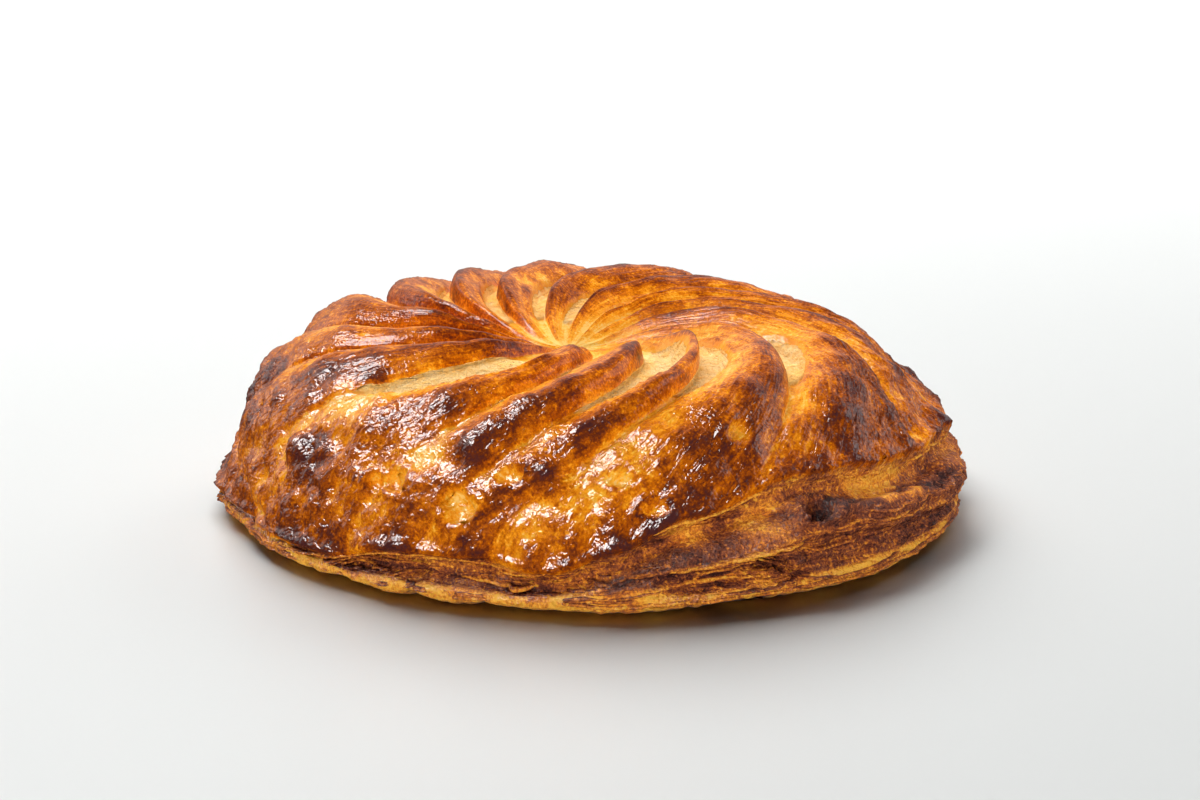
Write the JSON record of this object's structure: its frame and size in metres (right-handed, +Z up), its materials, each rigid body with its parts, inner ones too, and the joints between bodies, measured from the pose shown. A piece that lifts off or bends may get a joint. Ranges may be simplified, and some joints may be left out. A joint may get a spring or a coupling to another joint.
{
  "type": "galette des rois",
  "caption": "Round uncut puff pastry cake with a domed top, a swirl of scored puffed blades, a glossy browned crust and flaky layered sides.",
  "frame": {"origin": "centre of the bounding box at the underside of the cake, where it rests on the table", "axes": "+Z up; the pictured front faces -Y, with +X to the picture's right"},
  "size_m": [0.2316, 0.2322, 0.0612],
  "materials": {
    "baked_crust": null
  },
  "bodies": {
    "root": {"galette": "baked_crust"}
  },
  "joints": []
}
